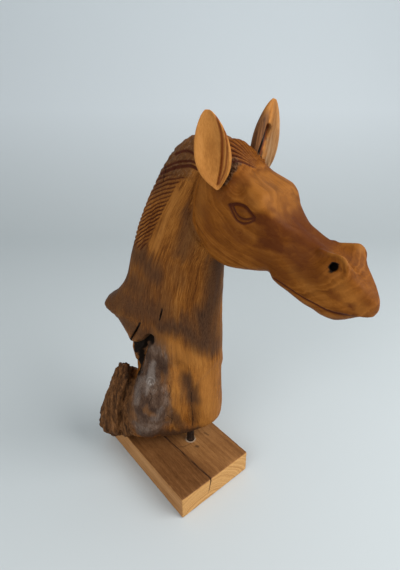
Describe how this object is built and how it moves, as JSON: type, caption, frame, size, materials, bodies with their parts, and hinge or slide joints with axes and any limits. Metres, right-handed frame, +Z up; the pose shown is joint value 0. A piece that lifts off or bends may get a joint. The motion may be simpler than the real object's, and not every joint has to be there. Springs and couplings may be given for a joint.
{
  "type": "driftwood horse head sculpture",
  "caption": "Free-standing horse's head carved from driftwood, with carved mane, let-in ears and natural trunk, held on a rectangular plank by a short steel rod.",
  "frame": {"origin": "middle of the plank's underside, where the sculpture stands", "axes": "+Z up; +X along the plank's length, towards the end that the horse looks over; +Y across the plank, to the horse's left"},
  "size_m": [0.2711, 0.1623, 0.4187],
  "materials": {
    "driftwood": "carved and weathered, satin",
    "ear_wood": "carved, satin",
    "plank_wood": "sawn, oiled",
    "dark_steel": "darkened"
  },
  "bodies": {
    "root": {"horse_head": "driftwood", "ear_right": "ear_wood", "ear_left": "ear_wood", "plank": "plank_wood", "rod": "dark_steel"}
  },
  "joints": []
}
